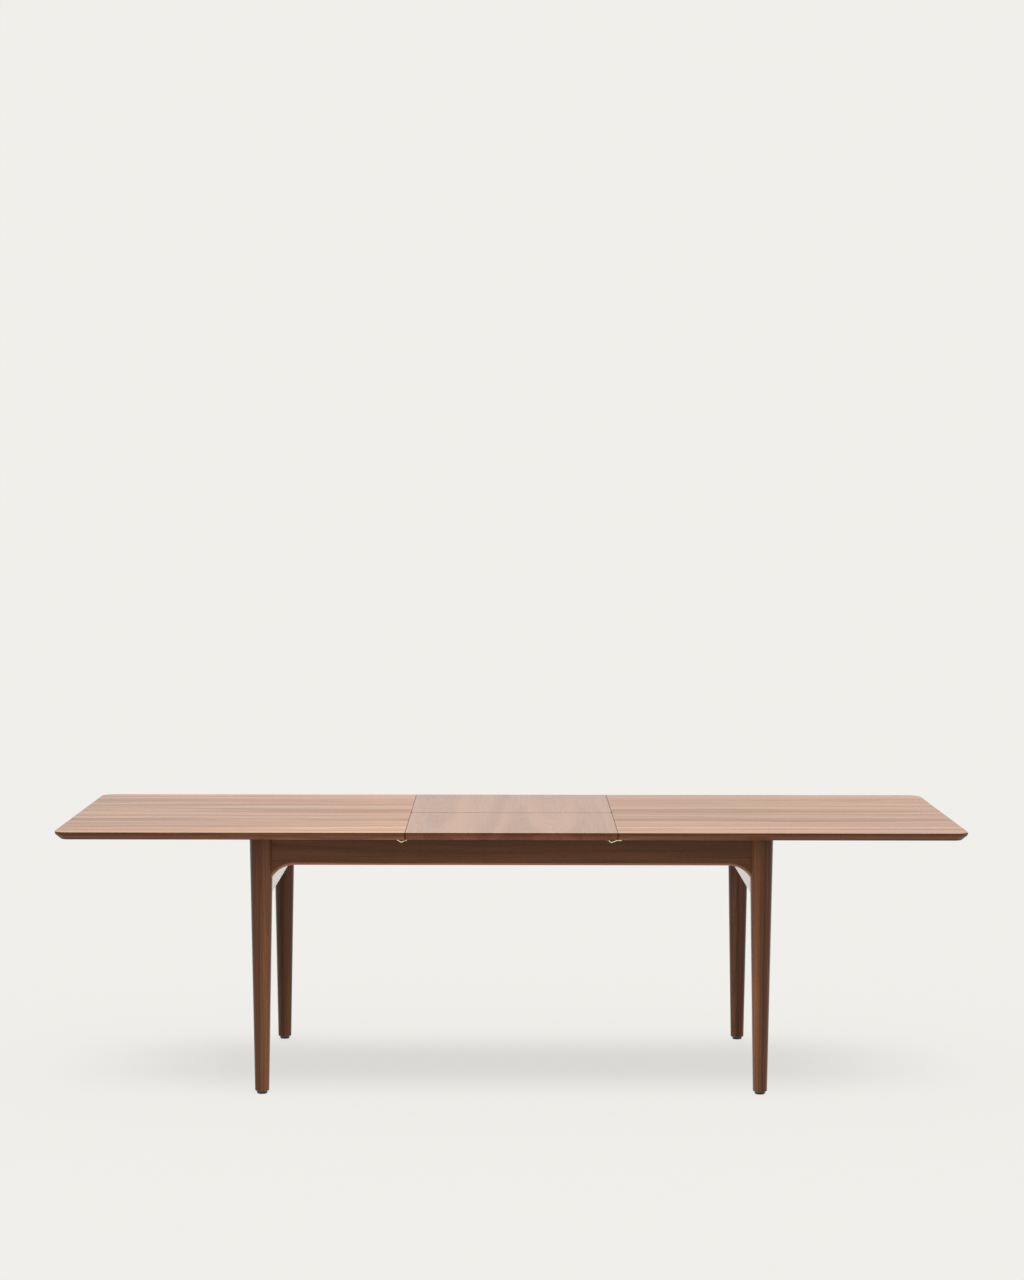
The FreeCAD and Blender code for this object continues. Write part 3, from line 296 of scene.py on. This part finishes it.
# Where shade is painted into the joints: the half-to-leaf joints at 0.302 m either side of the middle, and the leaf's
# fold along the middle.
JOINT, FOLD = ("x", 0.302, 0.0009), ("y", 0.0, 0.0031)
for side, sx, front, drift in (("left", 0.302, 1.15, (-1.25, -0.35, 0.88, 1.11)), ("right", -0.302, 1.06, None)):
    bands = ((-0.440, 0.130, front), (-0.255, 0.050, 0.95), (0.055, 0.080, 0.96), (0.430, 0.120, 1.06))
    dress("tabletop_" + side, wood("walnut_top_" + side, "X", 3.0, *TOP, shift=sx, strip=1.0 / 7, edge=EDGE, under=UNDER,
                                   rough=(0.29, 0.39), figure=0.09, fine=1.6, tilt=0.02, contrast=1.2, spread=0.09, streaks=bands, drift=drift, joint_shade=(JOINT,)))
for part in ("front", "rear"):
    dress("leaf_%s_panel" % part, wood("walnut_leaf_" + part, "Y", 5.0, *LEAF, strip=0.15, edge=LEAF_EDGE, under=UNDER, rough=(0.27, 0.36), tilt=0.05,
                                       contrast=0.80, spread=0.09, shine=0.75, joint_shade=(JOINT, FOLD)))
# Partly wood streaks and partly painted light: each leg is painted paler on its side towards the middle of the table
# and darker down its centre; the front-right leg's wide pale band is also a sapwood streak.
LEG_STREAKS_AND_PAINTED_LIGHT = {
    "front_left": ((-0.696, 0.013, 1.22), (-0.7165, 0.004, 0.74), (-0.738, 0.008, 0.90)),
    "front_right": ((0.689, 0.023, 2.20), (0.7195, 0.006, 0.76), (0.7115, 0.0025, 0.82)),
    "rear_left": ((-0.720, 0.008, 0.70), (-0.703, 0.009, 1.15)),
    "rear_right": ((0.703, 0.008, 1.35), (0.716, 0.007, 0.72)),
}
for i, (leg, bands) in enumerate(LEG_STREAKS_AND_PAINTED_LIGHT.items()):
    dress("leg_" + leg, wood("walnut_leg_" + leg, "Z", 11.0 + 2.3 * i, *LEG, pith=((0.66, 0.47), (-0.78, 0.45), (0.65, -0.46), (-0.77, -0.47))[i],
                             tilt=0.012, streaks=bands, rings=190.0, shine=0.04, contrast=1.35, coat=(1.0, 0.18, 1.2)))
# The aprons' rounded lower arris gets a painted highlight, a paler band along it and round the haunches.
for i, side in enumerate(("front", "rear")):
    dress("apron_" + side, wood("walnut_apron_" + side, "X", 21.0 + 3.1 * i, *RAIL, pith=((0.33, -0.60), (-0.33, -0.62))[i], tilt=0.008, shine=0.15,
                                  contrast=1.2, wear_and_painted_highlight=(0.622, 0.662, 0.075, 0.0095, (0.335, 0.152, 0.088), 0.88)))
for i, side in enumerate(("left", "right")):
    dress("end_rail_" + side, wood("walnut_rail_" + side, "Y", 31.0 + 2.7 * i, *END, pith=((0.62, -0.5), (-0.62, -0.52))[i], tilt=0.015,
                                   rough=(0.20, 0.28), shine=0.10, coat=(1.0, 0.08, 1.3)))
for i, n in enumerate(("guide_rail_front", "guide_rail_rear", "runner_left_front", "runner_left_rear", "runner_right_front",
                       "runner_right_rear", "runner_stops")):
    dress(n, wood("beech_" + n, "X", 41.0 + 1.9 * i, *BEECH, pith=(0.2 + 0.05 * i, -0.6), rings=320.0, ring_depth=0.10, contrast=0.55,
                  rough=(0.48, 0.58), pores=0.22))
for i, n in enumerate(("cross_rail_left", "cross_rail_right")):
    dress(n, wood("beech_" + n, "Y", 61.0 + 1.9 * i, *BEECH, pith=(0.2 + 0.05 * i, -0.6), rings=320.0, ring_depth=0.10, contrast=0.55,
                  rough=(0.48, 0.58), pores=0.22))

zinc = metal("yellow_zinc", (0.97, 0.84, 0.47), (0.92, 0.80, 0.52), (0.18, 0.30), 1.0)
steel = metal("bright_zinc", (0.66, 0.67, 0.69), (0.58, 0.59, 0.61), (0.24, 0.38), 2.0, (40.0, 600.0, 600.0))
brass = metal("brass", (0.80, 0.58, 0.26), (0.72, 0.50, 0.21), (0.22, 0.34), 3.0, (60.0, 900.0, 60.0))
bronze = metal("dark_bronze", (0.13, 0.082, 0.052), (0.09, 0.058, 0.040), (0.34, 0.48), 4.0)
black = plastic("black_plastic", (0.012, 0.012, 0.013), 0.48)
for row in frame["record"]["subparts"]:
    finish = {"yellow_zinc": zinc, "steel": steel, "brass": brass, "bronzed": bronze, "black_plastic": black}.get(row["material_slot"])
    if finish:
        dress(row["node"], finish)

# ---------------------------------------------------------------- studio
LOW, HIGH, Z0, Z1 = 0.85, 3.6, 0.45, 0.97  # the dome's radiance near the horizon and overhead
SHARE = 0.29  # how much of the floor's light a shadow can take away under the table's middle
FAR = 0.25  # and what part of that is left away from it

zs = (np.arange(20000) + 0.5) / 20000
ts = np.clip((zs - Z0) / (Z1 - Z0), 0, 1)
flat = float(np.mean(2 * zs * (LOW + (HIGH - LOW) * ts * ts * (3 - 2 * ts))))  # light on a level surface, over pi

world = bpy.data.worlds.new("studio")
scene.world = world
w = Tree(world)
up = w.split(w.new("ShaderNodeTexCoord").outputs["Generated"])[2]
dome = w.new("ShaderNodeBackground")
w.put(dome.inputs["Color"], (1.0, 1.0, 1.0))
w.put(dome.inputs["Strength"], w.span(up, Z0, Z1, LOW, HIGH))
paper = w.new("ShaderNodeBackground")
w.put(paper.inputs["Color"], PALE)
pick = w.new("ShaderNodeMixShader")
w.put(pick.inputs[0], w.new("ShaderNodeLightPath").outputs["Is Camera Ray"])
w.put(pick.inputs[1], dome.outputs[0])
w.put(pick.inputs[2], paper.outputs[0])
w.t.links.new(pick.outputs[0], w.new("ShaderNodeOutputWorld").inputs[0])

mesh = bpy.data.meshes.new("floor")
R = 90.0
mesh.from_pydata([(-R, -R, 0), (R, -R, 0), (R, R, 0), (-R, R, 0)], [], [(0, 1, 2, 3)])
floor = bpy.data.objects.new("floor", mesh)
scene.collection.objects.link(floor)
floor.location.z = -0.0002
fm = bpy.data.materials.new("pale_floor")
f = Tree(fm)
fx, fy, fz = f.split(f.new("ShaderNodeTexCoord").outputs["Object"])
spot = f.math("MULTIPLY", f.span(f.math("ABSOLUTE", fx), 1.55, 0.75), f.span(f.math("ABSOLUTE", f.math("SUBTRACT", fy, 0.05)), 0.55, 0.10))
share = f.math("MULTIPLY", f.math("MULTIPLY_ADD", spot, 1.0 - FAR, FAR), SHARE)
matt = f.new("ShaderNodeBsdfDiffuse")
f.put(matt.inputs["Color"], f.mix(f.math("DIVIDE", share, flat), (0.0, 0.0, 0.0), PALE))
glow = f.new("ShaderNodeEmission")
f.put(glow.inputs["Color"], PALE)
f.put(glow.inputs["Strength"], f.math("SUBTRACT", 1.0, share))
both = f.new("ShaderNodeAddShader")
f.put(both.inputs[0], matt.outputs[0])
f.put(both.inputs[1], glow.outputs[0])
f.t.links.new(both.outputs[0], f.new("ShaderNodeOutputMaterial").inputs[0])
mesh.materials.append(fm)

scene.view_settings.view_transform = "Standard"
scene.view_settings.look = "None"
scene.view_settings.exposure = 0.0
scene.view_settings.gamma = 1.0

# ---------------------------------------------------------------- camera
pitch, yaw, roll = (math.radians(d) for d in (3.0399, 0.0453, 0.0888))
forward = Vector((math.sin(yaw) * math.cos(pitch), math.cos(yaw) * math.cos(pitch), -math.sin(pitch)))
right = forward.cross(Vector((0, 0, 1))).normalized()
top = right.cross(forward)
right, top = right * math.cos(roll) + top * math.sin(roll), top * math.cos(roll) - right * math.sin(roll)
cam = bpy.data.objects.new("camera", bpy.data.cameras.new("camera"))
scene.collection.objects.link(cam)
cam.matrix_world = Matrix.Translation((-0.0055599, -8.3522628, 1.7303179)) @ Matrix((right, top, -forward)).transposed().to_4x4()
cam.data.sensor_width = 36.0
cam.data.sensor_fit = "AUTO"
cam.data.lens = 2785.8375 * 36.0 / 1280.0
cam.data.clip_start, cam.data.clip_end = 0.05, 500.0
scene.camera = cam
